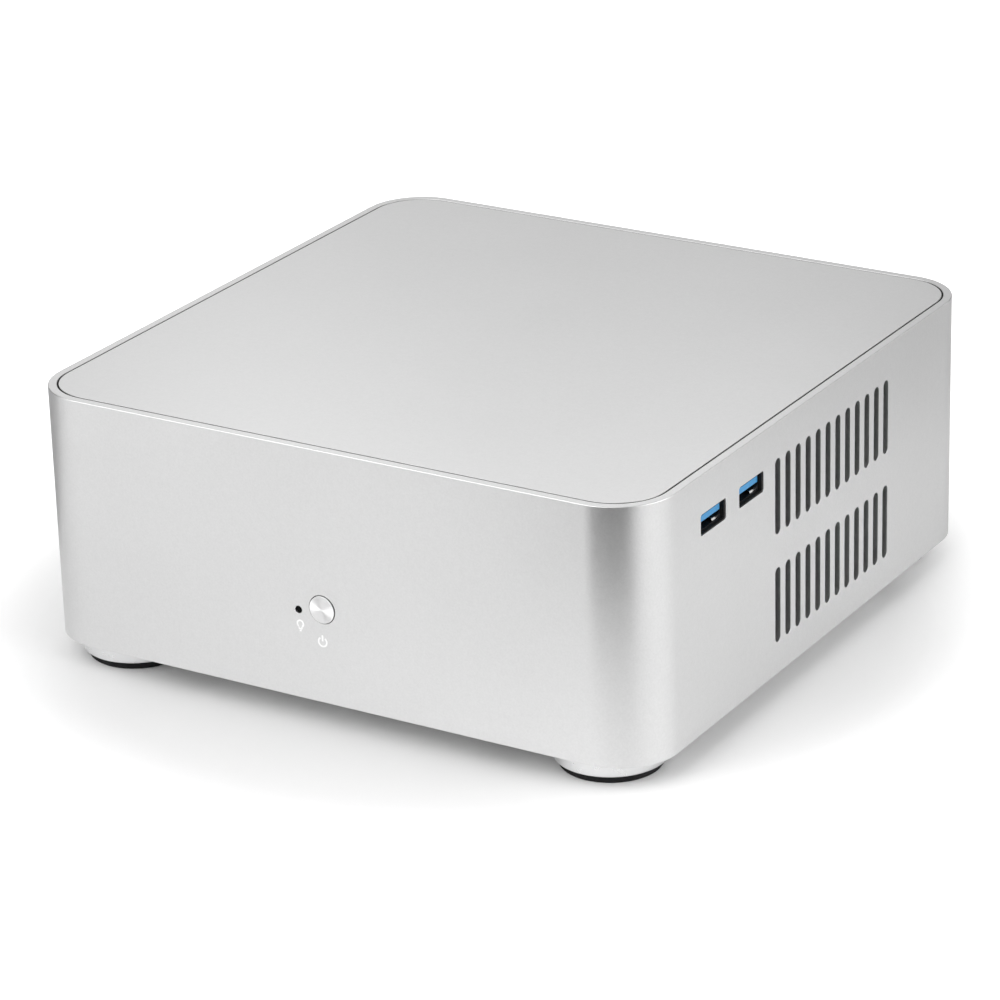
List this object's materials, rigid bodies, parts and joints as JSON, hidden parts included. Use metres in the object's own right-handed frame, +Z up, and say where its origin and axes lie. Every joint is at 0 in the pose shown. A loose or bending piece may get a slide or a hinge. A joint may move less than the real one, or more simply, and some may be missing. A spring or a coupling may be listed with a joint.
{
  "type": "desktop computer",
  "caption": "Low square desktop computer in a rounded aluminium case with vented sides, round feet, a push button, data sockets and a board, fan and drive inside.",
  "frame": {"origin": "on the surface the computer stands on, under the centre of the case", "axes": "+Z up, -Y towards the front with the power button, +X towards the side with the data sockets"},
  "size_m": [0.197, 0.1987, 0.0815],
  "materials": {
    "case_aluminium": "bead-blasted and clear anodised",
    "case_screws": "black oxide",
    "foot_aluminium": "turned and clear anodised",
    "foot_rubber": "matt moulded",
    "steel_fasteners": "zinc plated",
    "brass_standoffs": "turned",
    "circuit_board": "solder mask",
    "processor_lid": "nickel plated",
    "heatsink_aluminium": "milled",
    "fan_plastic": "moulded",
    "port_steel": "tin plated",
    "black_plastic": "moulded",
    "drive_casing": "satin",
    "bracket_steel": "zinc plated",
    "button_aluminium": "spun with fine concentric lines",
    "light_lens": "smoked",
    "socket_blue": "moulded",
    "lead_jacket": "matt jacket"
  },
  "bodies": {
    "case": {"shell": "case_aluminium", "top_cover": "case_aluminium", "bottom_cover": "case_aluminium", "case_screw_front_left": "case_screws", "case_screw_front_right": "case_screws", "case_screw_rear_left": "case_screws", "case_screw_rear_right": "case_screws", "foot_front_left": "foot_aluminium", "foot_front_right": "foot_aluminium", "foot_rear_left": "foot_aluminium", "foot_rear_right": "foot_aluminium", "foot_pad_front_left": "foot_rubber", "foot_pad_front_right": "foot_rubber", "foot_pad_rear_left": "foot_rubber", "foot_pad_rear_right": "foot_rubber", "foot_screw_front_left": "steel_fasteners", "foot_screw_front_right": "steel_fasteners", "foot_screw_rear_left": "steel_fasteners", "foot_screw_rear_right": "steel_fasteners", "board_screw_front_left": "steel_fasteners", "board_screw_front_right": "steel_fasteners", "board_screw_rear_left": "steel_fasteners", "board_screw_rear_right": "steel_fasteners", "front_board_screw": "steel_fasteners", "usb_board_screw": "steel_fasteners", "dc_jack_nut": "steel_fasteners", "standoff_front_left": "brass_standoffs", "standoff_front_right": "brass_standoffs", "standoff_rear_left": "brass_standoffs", "standoff_rear_right": "brass_standoffs", "motherboard": "circuit_board", "memory_module_inner": "circuit_board", "memory_module_outer": "circuit_board", "power_board": "circuit_board", "front_board": "circuit_board", "usb_board": "circuit_board", "processor": "processor_lid", "heatsink": "heatsink_aluminium", "fan_frame": "fan_plastic", "rear_usb_ports": "port_steel", "rear_network_port": "port_steel", "rear_video_port": "port_steel", "io_shield": "port_steel", "rear_audio_port": "black_plastic", "dc_jack": "black_plastic", "power_switch": "black_plastic", "usb_port_front": "black_plastic", "usb_port_rear": "black_plastic", "drive": "drive_casing", "drive_bracket": "bracket_steel", "button_spring": "bracket_steel", "status_light": "light_lens", "usb_tongue_front": "socket_blue", "usb_tongue_rear": "socket_blue", "usb_cable": "lead_jacket", "front_panel_cable": "lead_jacket", "drive_cable": "lead_jacket", "dc_cable": "lead_jacket"},
    "power_button": {"power_button": "button_aluminium"},
    "fan_rotor": {"fan_rotor": "fan_plastic"}
  },
  "joints": [
    {"name": "power_button_press", "type": "slide", "parent": "case", "child": "power_button", "axis": [0, 1, 0], "range_m": [0, 0.001], "stiffness_N_per_m": 900, "springref_m": -0.0008, "deforming": ["button_spring"]},
    {"name": "fan_spin", "type": "hinge", "parent": "case", "child": "fan_rotor", "pos_m": [-0.008, 0.008, 0.05], "axis": [0, 0, 1], "continuous": true}
  ]
}
